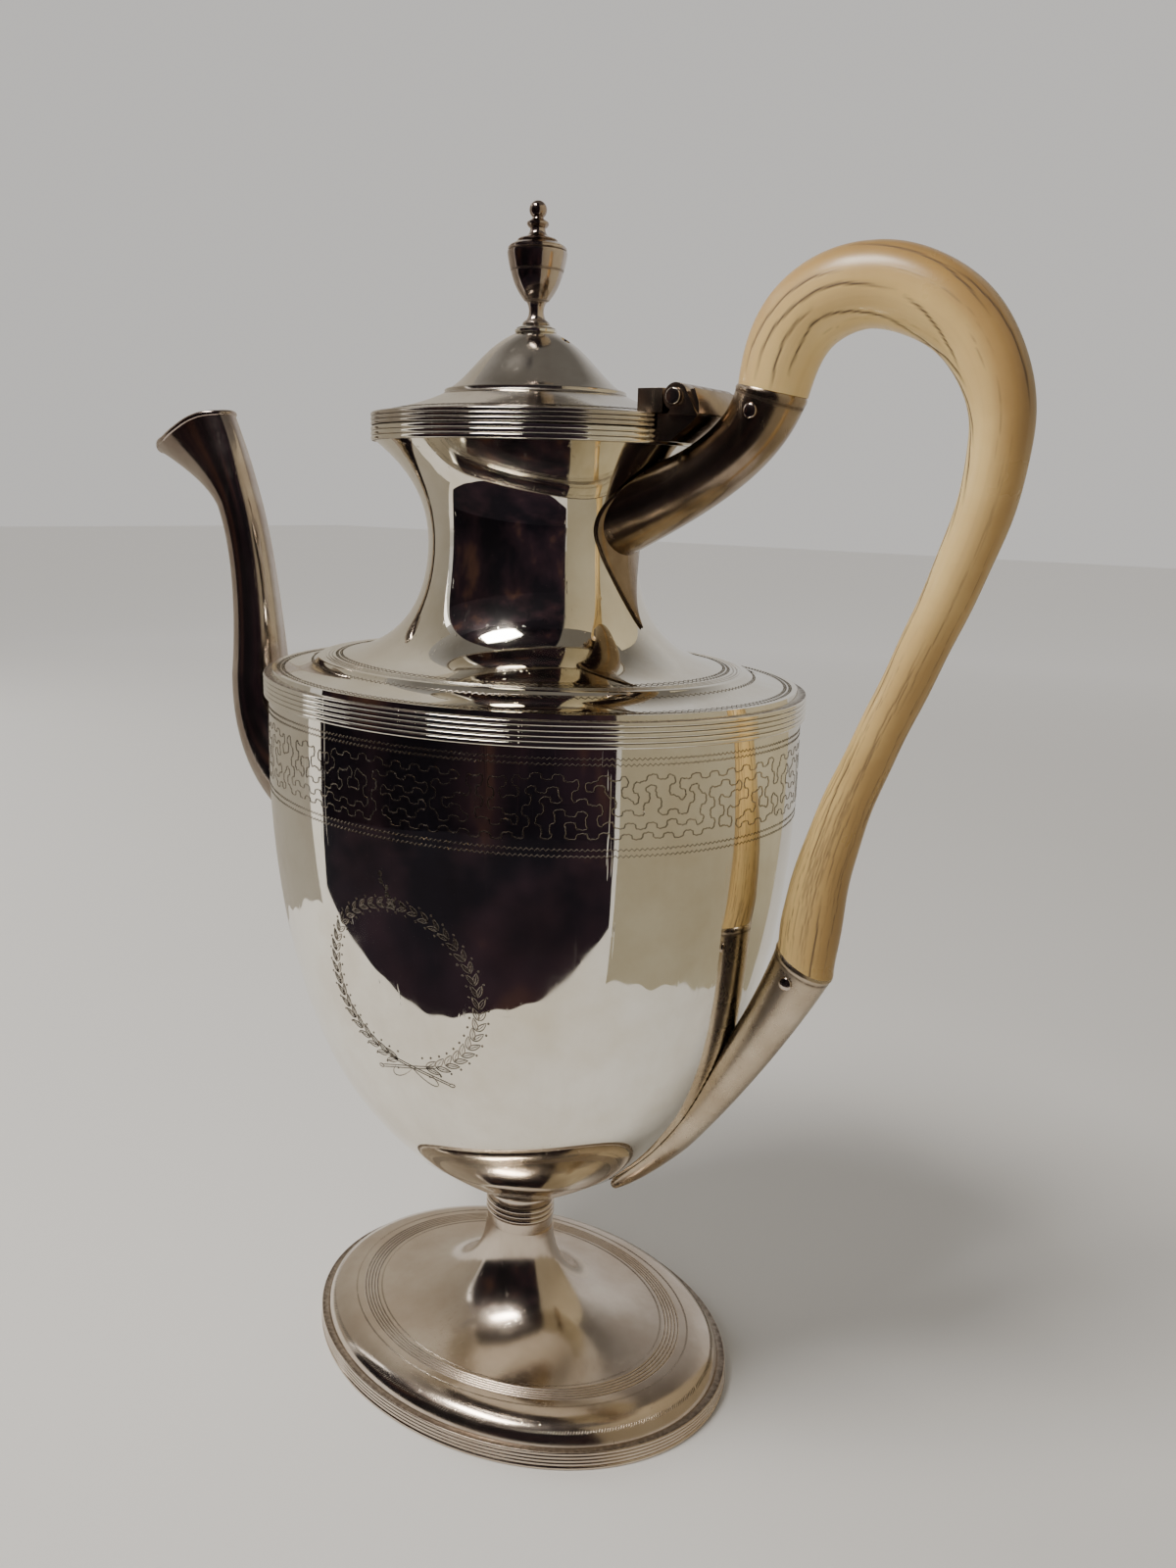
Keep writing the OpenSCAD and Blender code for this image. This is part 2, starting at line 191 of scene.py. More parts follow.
silver = silver_material("silver_polished", (0.90, 0.87, 0.79), (0.72, 0.65, 0.52), 0.34, 0.025, 0.3)
foot_silver = silver_material("silver_foot", (0.74, 0.66, 0.57), (0.52, 0.42, 0.33), 0.6, 0.14, 0.45)
dark_silver = silver_material("silver_tarnished", (0.56, 0.46, 0.36), (0.20, 0.14, 0.09), 0.7, 0.2, 0.5)
lid_silver = silver_material("silver_lid", (0.66, 0.62, 0.56), (0.46, 0.40, 0.33), 0.5, 0.12, 0.4)
socket_silver = silver_material("silver_socket", (0.70, 0.60, 0.47), (0.40, 0.31, 0.21), 0.55, 0.27, 0.5)
spout_silver = silver_material("silver_spout", (0.62, 0.55, 0.49), (0.34, 0.26, 0.22), 0.55, 0.12, 0.4)
inside_silver = silver_material("silver_inside", (0.62, 0.54, 0.44), (0.30, 0.21, 0.14), 0.8, 0.32, 0.3)
engraved = silver_material("silver_engraved", (0.52, 0.47, 0.40), (0.22, 0.18, 0.14), 0.5, 0.24, 0.2)


def ivory_material():
    """Old ivory: cream outside, tan with painted shade inside its bends, with grain along it and dark age cracks.
    """
    mat, tree, shader = new_material("ivory_aged")
    along = node(tree, "ShaderNodeUVMap", uv_map="along").outputs["UV"]
    # painted shade: the ivory turns browner inside the handle's loop and bend
    shade_and_tone = node(tree, "ShaderNodeAttribute", attribute_name="shade_and_tone").outputs["Fac"]
    crack = node(tree, "ShaderNodeAttribute", attribute_name="crack").outputs["Fac"]
    clouds = noise(tree, 34, detail=5, rough=0.6)
    cloudy = maths(tree, "MULTIPLY", clouds, 0.42)
    tone = maths(tree, "ADD", maths(tree, "MULTIPLY", shade_and_tone, 0.8), cloudy, clamp=True)
    colour = ramp(tree, tone, [(0.12, (0.80, 0.62, 0.30)), (0.38, (0.68, 0.48, 0.20)),
                               (0.68, (0.42, 0.26, 0.09)), (1.0, (0.22, 0.125, 0.045))])
    grain = noise(tree, 260, (0.02, 1, 1), detail=5, rough=0.65, coords=along)
    colour = mixed(tree, ramp(tree, grain, [(0.5, grey(0)), (0.74, grey(0.30))]), colour, (0.40, 0.25, 0.12))
    pale = noise(tree, 120, (0.03, 1, 1), detail=3, coords=along)
    colour = mixed(tree, ramp(tree, pale, [(0.55, grey(0)), (0.75, grey(0.22))]), colour, (0.90, 0.72, 0.42))
    gaps = noise(tree, 180, (0.2, 1, 1), detail=3, coords=along)
    broken = ramp(tree, gaps, [(0.2, grey(0.7)), (0.45, grey(1))])
    lines = maths(tree, "MULTIPLY", crack, broken, clamp=True)
    colour = mixed(tree, lines, colour, (0.085, 0.052, 0.032))
    tree.links.new(colour, shader.inputs["Base Color"])
    level = ramp(tree, clouds, [(0.3, grey(0.24)), (0.7, grey(0.38))])
    tree.links.new(mixed(tree, lines, level, grey(0.8)), shader.inputs["Roughness"])
    shader.inputs["Subsurface Weight"].default_value = 0.06
    shader.inputs["Subsurface Radius"].default_value = (0.004, 0.002, 0.001)
    shader.inputs["Subsurface Scale"].default_value = 1.0
    shader.inputs["Coat Weight"].default_value = 0.12
    shader.inputs["Coat Roughness"].default_value = 0.18
    ripple = bump(tree, grain, 0.25, 0.00008)
    uncracked = maths(tree, "SUBTRACT", 1.0, lines)
    tree.links.new(bump(tree, uncracked, 0.6, 0.0002, ripple), shader.inputs["Normal"])
    return mat


ivory = ivory_material()


def paper_material(name, dark, pale):
    mat, tree, shader = new_material(name)
    tree.links.new(mixed(tree, noise(tree, 3.0, detail=3), dark, pale), shader.inputs["Base Color"])
    shader.inputs["Roughness"].default_value = 0.85
    shader.inputs["Specular IOR Level"].default_value = 0.2
    return mat, tree, shader


# ---------------------------------------- lines and meshes, in mm
def bez(points, n):
    p = np.array(points, float)
    t = np.linspace(0, 1, n + 1)[:, None]
    return (1 - t) ** 3 * p[0] + 3 * (1 - t) ** 2 * t * p[1] + 3 * (1 - t) * t * t * p[2] + t ** 3 * p[3]


def chain(curves, n):
    return np.vstack([bez(c, n)[(1 if k else 0):] for k, c in enumerate(curves)])


def runs(line):
    """How far along a line each of its points lies."""
    return np.concatenate([[0], np.cumsum(np.linalg.norm(np.diff(line, axis=0), axis=1))])


def resampled(line, step, dense=None):
    """Points along a line every step mm, or every dense[2] mm where the first value is within dense[0:2]."""
    line = np.array(line, float)
    run = runs(line)
    places, s = [0.0], 0.0
    while s < run[-1]:
        here = np.interp(s, run, line[:, 0])
        s += dense[2] if dense and dense[0] < here < dense[1] else step
        places.append(min(s, run[-1]))
    return np.stack([np.interp(places, run, line[:, k]) for k in range(line.shape[1])], 1)


def slopes(line):
    d = np.gradient(np.array(line, float), axis=0)
    return d / np.maximum(np.linalg.norm(d, axis=1, keepdims=True), 1e-12)


def lefts(line):
    """The directions square to a line, on its left."""
    s = slopes(line)
    return np.stack([-s[:, 1], s[:, 0]], 1)


def shifted(line, distance):
    out = np.array(line, float) + distance * lefts(line)
    out[:, 0] = np.maximum(out[:, 0], 0)
    return out


def circle_turns(n):
    return np.linspace(0, 2 * math.pi, n, endpoint=False)


def build(name, verts, faces, material, like, instead=True, sharp=38, attributes=None):
    """A piece that rides on a node's body and stands for the node unless told not to."""
    mesh = bpy.data.meshes.new(name)
    corners = (np.array(verts) * MM).tolist()
    mesh.from_pydata(corners, [], [f if isinstance(f, (list, tuple)) else f.tolist() for f in faces])
    for key, values in (attributes or {}).items():
        mesh.attributes.new(key, "FLOAT", "POINT").data.foreach_set("value", np.array(values, np.float32))
    work = bmesh.new()
    work.from_mesh(mesh)
    bmesh.ops.remove_doubles(work, verts=work.verts, dist=2e-7)
    work.to_mesh(mesh)
    work.free()
    mesh.shade_smooth()
    mesh.set_sharp_from_angle(angle=math.radians(sharp))
    mesh.materials.append(material)
    piece = placed(name, mesh)
    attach(piece, BODY_OF[like])
    if instead:
        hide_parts(like)
    return piece


def grid_faces(rows, n, closed=False):
    i, j = np.meshgrid(np.arange(rows if closed else rows - 1), np.arange(n), indexing="ij")
    k, m = (i + 1) % rows, (j + 1) % n
    return np.stack([i * n + j, i * n + m, k * n + m, k * n + j], 2).reshape(-1, 4)


def lathe(like, profile, ratio, material, n, closed=True, grime_and_shade=None):
    """An oval turned piece. Its profile, with its grime and painted shade, climbs the outside and comes down the
    inside.
    """
    p = np.array(profile, float)
    t = circle_turns(n)
    verts = np.stack([p[:, :1] * np.cos(t), ratio * p[:, :1] * np.sin(t), np.repeat(p[:, 1:2], n, 1)], 2)
    dirt_and_shade = np.zeros(len(p))
    if grime_and_shade is not None:
        dirt_and_shade[:len(grime_and_shade)] = grime_and_shade
    return build(like + "_smooth", verts.reshape(-1, 3), grid_faces(len(p), n, closed), material, like,
                 attributes={"grime_and_shade": np.repeat(dirt_and_shade, n)})


def reeds(a_in, a_out, low, height, count, steps=10):
    """A ring's section with round reeds up its outside, and the dirt and painted shade between the reeds."""
    r = height / count / 2
    proud = 0.8 * r
    points, dirt_and_shade = [(a_in, low)], [0.3]
    for i in range(count):
        for k in range(0 if i == 0 else 1, steps + 1):
            turn = math.pi * (k / steps - 0.5)
            points.append((a_out - proud + proud * math.cos(turn), low + r * (2 * i + 1 + math.sin(turn))))
            # dirt and painted shade in the hollow between two reeds
            dirt_and_shade.append(max(0.0, abs(math.sin(turn)) - 0.82) / 0.18)
    return points + [(a_in, low + height)], dirt_and_shade + [0.3]


def grooved(profile, low_a, high_a, pitch, depth):
    """Cuts round-bottomed lines into the part of a profile between two half lengths."""
    p = np.array(profile, float)
    inside = (p[:, 0] > low_a) & (p[:, 0] < high_a)
    wave = np.where(inside, 0.5 - 0.5 * np.cos(2 * math.pi * (p[:, 0] - low_a) / pitch), 0)
    wave = wave ** 2
    return p + (depth * wave)[:, None] * lefts(p), wave


def sweep(path, lean, sides):
    """Oval sections along a path of (x, z, half depth, half width), each leaning by its angle in radians."""
    p = np.array(path, float)
    turn = circle_turns(sides)
    d = p[:, 2:3] * np.cos(turn)
    return np.stack([p[:, 0:1] + d * np.cos(lean)[:, None], p[:, 3:4] * np.sin(turn),
                     p[:, 1:2] + d * np.sin(lean)[:, None]], 2)


def square_on(path, first=None, last=None, over=13.0):
    """Leans square to the path, turned over its last mm towards the leans in degrees given for its ends."""
    p = np.array(path, float)[:, :2]
    s = slopes(p)
    lean = np.unwrap(np.arctan2(-s[:, 0], s[:, 1]))
    run = runs(p)
    for wanted, away, end in ((first, run, 0), (last, run[-1] - run, -1)):
        if wanted is not None:
            change = (math.radians(wanted) - lean[end] + math.pi) % (2 * math.pi) - math.pi
            share = np.clip(1 - away / over, 0, 1)
            lean = lean + change * share * share * (3 - 2 * share)
    return lean


def capped(rows, n):
    """Faces of a swept tube with both ends closed."""
    faces = [f[::-1].tolist() for f in grid_faces(rows, n)]
    return faces + [list(range(n)), [(rows - 1) * n + j for j in range(n)][::-1]]


# ---------------------------------------- the object's own sizes, in mm
BODY, FOOT = 0.858, 0.77        # width over length: all that is above the foot, and the foot
WALL = 1.2


def heights(name):
    """The heights of a node's lower and upper ends."""
    low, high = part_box(name)
    return round(low.z / MM, 2), round(high.z / MM, 2)


plate_low, plate_top = heights("foot_plate")
rim_low, rim_top = heights("foot_rim")
stem_low, stem_top = heights("stem_collar")
bowl_low, bowl_top = heights("body_shell")
shoulder_low = heights("shoulder")[0]
neck_low, neck_top = heights("neck")
neck_rim_top = heights("neck_rim")[1]
lid_low, reeds_top = heights("lid_rim")
dome_low, dome_top = heights("lid_dome")
collar_low, collar_top = heights("finial_collar")
cap_low, finial_top = heights("finial_cap")
CALYX_TOP = 67.5

bowl = chain([[[0, bowl_low], [22, bowl_low], [42.2, 67.7], [55.6, 90]],
              [[55.6, 90], [66, 107.3], [74.1, 140], [74.2, 178]]], 70)
bowl = np.vstack([bowl, [[74.1, 187], [73.9, bowl_top]]])
neck_line = chain([[[57, 206.5], [36, 208], [28.7, 222], [28.7, 236.5]],
                   [[28.7, 236.5], [28.7, 249], [36, 256.5], [43, neck_top]]], 50)
cup = bez([[37.02, CALYX_TOP], [31.6, 62.85], [22, 56.2], [10.6, stem_top]], 120)


def body_a(z):
    return np.interp(z, bowl[:, 1], bowl[:, 0])


def neck_a(z):
    return np.interp(z, neck_line[:, 1], neck_line[:, 0])


def oval_x(y, a, least=0.02):
    """How far out an oval of half length a reaches along X, at a distance y across it."""
    return a * np.sqrt(np.clip(1 - (y / (BODY * a)) ** 2, least, 1))


# ---------------------------------------- body, calyx, stem and foot
inner = shifted(bowl, WALL)
inner = resampled(inner[inner[:, 1] < bowl_top - 0.5], 2.5)
inner[0, 0] = 0
lathe("body_shell", np.vstack([resampled(bowl, 1.3), [[72.8, bowl_top]], inner[::-1]]), BODY, silver, 384,
      closed=False)
lathe("calyx", np.vstack([[[36.4, 67.2]], resampled(cup, 0.6), [[9, stem_top], [9, 52]]]), BODY, silver, 384,
      closed=False)


def add_stem(wires=3, pitch=1.6, r=0.75):
    """The stem between the foot and the calyx, with fine wires round it."""
    section = [(8.2, stem_low), (10.2, stem_low), (10.2, 41.2)]
    dirt_and_shade = [0, 0, 0]
    for i in range(wires):
        for k in range(9):
            turn = math.pi * (k / 8 - 0.5)
            section.append((9.9 + r * math.cos(turn), 41.4 + pitch * i + r * (1 + math.sin(turn))))
            # dirt and painted shade where each wire meets the stem
            dirt_and_shade.append(1 if k in (0, 8) else 0)
    section += [(10.1, 46.4), (10.6, 48.2), (10.6, stem_top), (8.2, stem_top)]
    lathe("stem_collar", section, BODY, foot_silver, 160, grime_and_shade=dirt_and_shade + [0.3])


add_stem()

flare = chain([[[63.8, rim_top], [62.2, 10.2], [55.5, 10.9], [49.5, 11.2]],
               [[49.5, 11.2], [27, 11.8], [11, 20], [10.8, stem_low]]], 90)
flare = resampled(flare, 0.9, (45.6, 53.0, 0.1))
flare, cut = grooved(flare, 46.6, 51.6, 1.0, 0.2)
under = shifted(flare, WALL)
under = resampled(under[(under[:, 1] < stem_low - 1.5) & (under[:, 1] > rim_top + 0.2)], 2)
# grime: dirt and painted shade in the grooves
lathe("foot", np.vstack([flare, [[9.6, stem_low]], under[::-1], [[62.6, rim_top]]]), FOOT, foot_silver, 320,
      grime_and_shade=cut * 0.8)
ring, dirt_and_shade = reeds(62.6, 66.0, rim_low, rim_top - rim_low, 4)
lathe("foot_rim", ring, FOOT, foot_silver, 320, grime_and_shade=dirt_and_shade)
lathe("foot_plate", [(61.2, plate_low), (65.9, plate_low), (66.15, 0.2), (66.2, 0.5), (66.1, 0.8),
                     (65.8, plate_top), (61.2, plate_top)], FOOT, foot_silver, 320)

# ---------------------------------------- shoulder, neck and their rims
ring, dirt_and_shade = reeds(71.7, 75.2, bowl_top, shoulder_low - bowl_top, 5)
lathe("shoulder_moulding", ring, BODY, silver, 384, grime_and_shade=dirt_and_shade)
slope_line = bez([[72.9, 203.2], [68, 203], [62.5, 204], [59.7, 206.2]], 60)
slope_line = np.vstack([[[72.9, shoulder_low]], slope_line[1:]])
slope_under = bez([[72.9, 203.2], [68, 203], [62.5, 204], [59.5, 206.2]], 20) - [0.8, WALL]
shoulder = [slope_line, [[59.2, 206.45], [57.4, 206.3], [57.4, neck_low]], slope_under[::-1],
            [[71.7, shoulder_low]]]
lathe("shoulder", np.vstack(shoulder), BODY, silver, 384)
outside = resampled(np.vstack([[[59.35, 206.35]], neck_line[1:]]), 1.0, (52.5, 59.4, 0.1))
outside, cut = grooved(outside, 55.3, 59.1, 0.95, 0.22)
inside = shifted(neck_line, WALL)
inside = resampled(inside[inside[:, 1] < neck_top - 1.2], 2)
# grime: dirt and painted shade in the grooves
lathe("neck", np.vstack([[[59.3, 206.2]], outside, [[41, neck_top]], inside[::-1], [[57.4, neck_low]]]), BODY,
      silver, 384, grime_and_shade=np.concatenate([[0], cut * 0.8]))
ring, dirt_and_shade = reeds(40.9, 44.3, neck_top, neck_rim_top - neck_top, 3)
lathe("neck_rim", ring, BODY, silver, 320, grime_and_shade=dirt_and_shade)

# ---------------------------------------- lid and finial
ring, dirt_and_shade = reeds(40.9, 44.3, lid_low, reeds_top - lid_low, 3)
lathe("lid_rim", ring, BODY, lid_silver, 320, grime_and_shade=dirt_and_shade)
lathe("lid_bezel", [(39.1, 262.4), (39.8, 262.4), (40.1, 262.8), (40.1, dome_low), (39.1, dome_low)], BODY,
      inside_silver, 320)
brim = bez([[42.9, 268.7], [36, 269.7], [29, 271.8], [25.0, 273.6]], 60)
step = np.array([[24.6, 273.75], [24.35, 274.1], [24.3, 274.7], [24.0, 274.95], [23.6, 274.95]])
crown = resampled(bez([[23.4, 274.8], [17, 278.5], [14, 285.5], [5, dome_top]], 80), 0.8)
dome = np.vstack([resampled(np.vstack([[[43.3, 268.3]], brim]), 0.8), step, crown])
# dirt and painted shade at the step below the crown
dome_dirt_and_shade = np.zeros(len(dome))
dome_dirt_and_shade[-len(crown) - len(step)] = 0.8
below = resampled(np.vstack([[[39.0, 267.6]], bez([[34, 268.4], [28, 270.4], [26, 271.2], [23.4, 272.6]], 20),
                             bez([[23.2, 272.8], [16, 276.8], [13, 284.2], [1.8, 287.7]], 40)]), 2)
dome_piece = lathe("lid_dome", np.vstack([dome, [[1.8, dome_top + 0.2]], below[::-1]]), BODY, lid_silver, 320,
                   grime_and_shade=dome_dirt_and_shade)


def drilled(piece, x, y, z, radius, length):
    """Takes a vertical hole out of a piece."""
    mesh = bpy.data.meshes.new("drill")
    work = bmesh.new()
    bmesh.ops.create_cone(work, cap_ends=True, segments=32, radius1=radius * MM, radius2=radius * MM,
                          depth=length * MM, matrix=Matrix.Translation((x * MM, y * MM, z * MM)))
    work.to_mesh(mesh)
    work.free()
    tool = placed("drill", mesh)
    hole = piece.modifiers.new("hole", "BOOLEAN")
    hole.operation, hole.solver, hole.object = "DIFFERENCE", "EXACT", tool
    bpy.context.view_layer.update()
    made = bpy.data.meshes.new_from_object(piece.evaluated_get(bpy.context.evaluated_depsgraph_get()))
    piece.modifiers.clear()
    piece.data = made
    bpy.data.objects.remove(tool)


drilled(dome_piece, 9, 0, 286, 1.2, 14)

collar = [(1.6, 0), (5, -0.2), (5.35, 0.1), (5.35, 0.6), (4.9, 0.9), (4.9, 1.1), (4.4, 1.3), (3.6, 1.8),
          (1.6, 1.8)]
# dirt and painted shade in the collar's steps
lathe("finial_collar", np.array(collar) + [0, collar_low], 1.0, silver, 96,
      grime_and_shade=[0, 0.5, 0, 0, 0.8, 0.8, 0, 0.5])
urn = np.vstack([[[0, 0], [3.3, 0], [3.5, 0.35], [3.2, 0.8]],
                 bez([[2.6, 1.2], [1.7, 2.4], [1.6, 4.2], [2.6, 5.6]], 16),
                 bez([[3.1, 5.8], [4.6, 7.6], [5.8, 9.6], [6.5, 12.4]], 20),
                 bez([[6.6, 12.6], [6.9, 13.6], [7.3, 15.2], [7.5, 16.9]], 10),
                 [[7.45, 17.3], [7.15, 17.5], [7.35, 17.8], [7.3, 18.2], [6.9, 18.4], [6.9, 18.6]],
                 [[6.3, 18.9], [4.9, 19.8], [0, 19.8]]])
# dirt and painted shade in the urn's narrow necks and grooves
urn_dirt_and_shade = np.zeros(len(urn))
urn_dirt_and_shade[[3, 4, 20, 21, 42, 43]] = 0.6
urn_dirt_and_shade[-8] = 1
lathe("finial_urn", urn + [0, collar_top], 1.0, spout_silver, 96, closed=False, grime_and_shade=urn_dirt_and_shade)
cap = np.vstack([[[0, 0], [4.8, 0], [5.0, 0.2]], bez([[4.6, 0.5], [2.7, 0.8], [2.0, 1.6], [1.9, 2.9]], 12),
                 [[2.4, 3.3], [2.75, 3.8], [2.7, 4.3], [2.2, 4.7], [1.5, 5.1], [1.3, 5.6]]])
BALL = 2.2
ball = [(BALL * math.cos(t), finial_top + BALL * (math.sin(t) - 1))
        for t in np.linspace(-0.9, math.pi / 2, 24)]
ball[-1] = (0, finial_top)
lathe("finial_cap", np.vstack([cap + [0, cap_low], ball]), 1.0, spout_silver, 96, closed=False)

# ---------------------------------------- spout
MOUTH_X, MOUTH_Z, MOUTH_LEAN = -131, 264.5, 19
# each point is (x, z, half depth, half width, lean in degrees)
spout_path = chain([
    [[-60, 154, 16, 11.5, 90], [-90, 154, 13, 11, 82], [-105, 168, 9.5, 10, 12], [-105, 192, 8.6, 9.2, 0]],
    [[-105, 192, 8.6, 9.2, 0], [-105, 212, 7, 7, 0], [-107, 232, 6.4, 6.3, 10], [-112.5, 245, 7, 6.6, 22]],
    [[-112.5, 245, 7, 6.6, 22], [-116, 252, 8, 7, 26], [-123, 259, 12.5, 7.8, 22],
     [MOUTH_X, MOUTH_Z, 16.5, 8.4, MOUTH_LEAN]]], 44)
# how far the mouth's edge stands above a flat cut, from its tip (-1) to its back (1)
LIP_RISE = [(-1, -0.4), (-0.85, 0.5), (-0.7, 0.9), (-0.46, 0.2), (0.04, 1.1), (0.32, 1.8), (0.6, 1.9),
            (0.8, 1.4), (1, 0.6)]


def lip_rise(along):
    fine = np.linspace(-1, 1, 81)
    rise = np.interp(fine, *zip(*LIP_RISE))
    return np.interp(along, fine, np.convolve(np.pad(rise, 4, "edge"), np.ones(9) / 9, "valid"))


def add_spout(n=112, last=16):
    """The tapered tube. Only its last rows follow the mouth's edge, and its root stops at the body."""
    lean = np.radians(spout_path[:, 4])
    skin = sweep(spout_path, lean, n)
    bore = sweep(spout_path - [0, 0, WALL, WALL, 0], lean, n)
    share = np.clip((np.arange(len(skin)) - (len(skin) - last)) / (last - 1), 0, 1)[:, None] ** 2
    for shell, sunk in ((skin, 0), (bore, 0.6)):
        shell[..., 2] += share * lip_rise(np.cos(circle_turns(n)))[None]
        surface = 0.3 - oval_x(shell[..., 1], body_a(shell[..., 2]) - sunk, 0.01)
        low_down = shell[..., 2] < bowl_top - 0.1
        shell[..., 0] = np.where(low_down, np.minimum(shell[..., 0], surface), shell[..., 0])
    verts = np.concatenate([skin.reshape(-1, 3), bore[::-1].reshape(-1, 3)])
    build("spout_smooth", verts, grid_faces(len(skin) * 2, n, closed=True)[:, ::-1], spout_silver, "spout")


def add_spout_lip(half_depth=16.2, half_width=8.1, r=0.85, lift=0.5, n=160, sides=12):
    """The wire round the spout's mouth."""
    t = circle_turns(n)
    c, s = math.cos(math.radians(MOUTH_LEAN)), math.sin(math.radians(MOUTH_LEAN))
    verts = []
    for turn in circle_turns(sides):
        a, b, h = half_depth + r * math.cos(turn), half_width + r * math.cos(turn), lift + r * math.sin(turn)
        verts.append(np.stack([MOUTH_X + a * np.cos(t) * c - h * s, b * np.sin(t),
                               MOUTH_Z + a * np.cos(t) * s + h * c + lip_rise(np.cos(t))], 1))
    faces = grid_faces(sides, n, closed=True)
    build("spout_lip_smooth", np.concatenate(verts), faces, spout_silver, "spout_lip")


add_spout()
add_spout_lip()

# ---------------------------------------- handle and its sockets
TOP_LEAN, LOW_LEAN = -12, -28
GRIP_TOP, GRIP_LOW = [66.4, 273.8, 8.3, 8], [84.6, 141.3, 7.9, 7.4]
# each point is (x, z, half depth, half width)
grip_curves = [
    [GRIP_TOP, [67.8, 285, 9.4, 8.6], [74, 294.8, 9.6, 8.8], [88, 294.8, 8.9, 8.6]],
    [[88, 294.8, 8.9, 8.6], [104, 294.8, 9, 8.4], [118.4, 282, 7.4, 7], [118.4, 264, 6.6, 6.6]],
    [[118.4, 264, 6.6, 6.6], [118.4, 245, 5.9, 6.2], [109, 226, 5.6, 6], [98.5, 199, 5.5, 6]],
    [[98.5, 199, 5.5, 6], [92, 182, 5.5, 6], [85, 163, 7.2, 6.8], GRIP_LOW]]
# each long crack: where it starts and ends along the handle in mm, its angles there in radians from the
# middle of the near side (-Y), positive towards the outside of the loop, and its width in mm
HANDLE_CRACKS = [
    (2, 30, -0.55, -0.25, 0.2), (1, 42, -0.15, 0.15, 0.22), (0, 22, 0.35, 0.30, 0.18),
    (4, 26, 0.75, 0.6, 0.16), (18, 46, 0.55, 0.95, 0.18), (40, 62, 0.9, 1.3, 0.2), (44, 66, 0.2, 0.75, 0.18),
    (50, 70, 1.35, 0.75, 0.22), (58, 84, 1.4, 0.7, 0.24), (63, 96, 1.45, 0.6, 0.24),
    (68, 104, 1.5, 0.8, 0.22), (74, 118, 1.55, 0.95, 0.24), (82, 128, 1.45, 0.75, 0.2),
    (30, 60, -1.0, -0.7, 0.18), (48, 78, -0.9, -1.2, 0.18), (120, 150, 0.9, 0.7, 0.14),
    (150, 190, 0.5, 0.2, 0.13), (196, 262, 0.85, 0.55, 0.2), (205, 262, 0.5, 0.25, 0.2),
    (212, 262, 0.2, 0.05, 0.2), (200, 250, 1.2, 1.0, 0.2), (216, 262, -0.2, -0.35, 0.18),
    (190, 240, -0.5, -0.75, 0.16), (225, 262, -0.6, -0.7, 0.18)]


def handle_cracks(path, run, turn):
    """How deep in a crack each point of the handle is: the long cracks, then short ones, mostly low down."""
    rng = random.Random(11)
    crack = np.zeros((len(path), len(turn)))

    def draw(s0, s1, f0, f1, wave=0.016, width=0.12, force=1.0):
        """A crack from run s0 to s1 (mm) and from angle f0 to f1 (radians), drawn soft-edged."""
        phase, phase2 = rng.uniform(0, 6), rng.uniform(0, 6)
        i0, i1 = sorted((int(np.searchsorted(run, s0)), int(np.searchsorted(run, s1))))
        for i in range(max(i0, 0), min(i1, len(path) - 1) + 1):
            share = (run[i] - s0) / (s1 - s0 + 1e-9)
            angle = f0 + (f1 - f0) * share + wave * math.sin(phase + run[i] * 0.35)
            angle += 0.4 * wave * math.sin(phase2 + run[i] * 1.1)
            r = (path[i, 2] + path[i, 3]) / 2
            off = np.abs((turn - angle + math.pi) % (2 * math.pi) - math.pi) * r
            fade = min(1.0, 4 * share + 0.15, 4 * (1 - share) + 0.15)
            crack[i] = np.maximum(crack[i], force * fade * np.clip(1.35 - off / width * 0.55, 0, 1))

    near, total = -math.pi / 2, run[-1]
    for s0, s1, f0, f1, w in HANDLE_CRACKS:
        draw(s0, s1, near + f0, near + f1, width=w * 0.85)
        draw(s0 + rng.uniform(-6, 6), s1 + rng.uniform(-6, 6), -near - f0, -near - f1, width=w * 0.85)
    for _ in range(90):
        s0 = rng.uniform(total - 120, total - 8)
        draw(s0, min(total, s0 + rng.uniform(14, 60)), *(2 * [rng.uniform(-math.pi, math.pi)]), wave=0.03,
             width=rng.uniform(0.06, 0.11), force=rng.uniform(0.25, 0.7))
    for _ in range(46):
        s0 = rng.uniform(0, total - 60)
        f = rng.uniform(-math.pi, math.pi)
        draw(s0, s0 + rng.uniform(8, 36), f, f + rng.uniform(-0.12, 0.12), wave=0.02, width=0.07,
             force=rng.uniform(0.15, 0.4))
    return crack


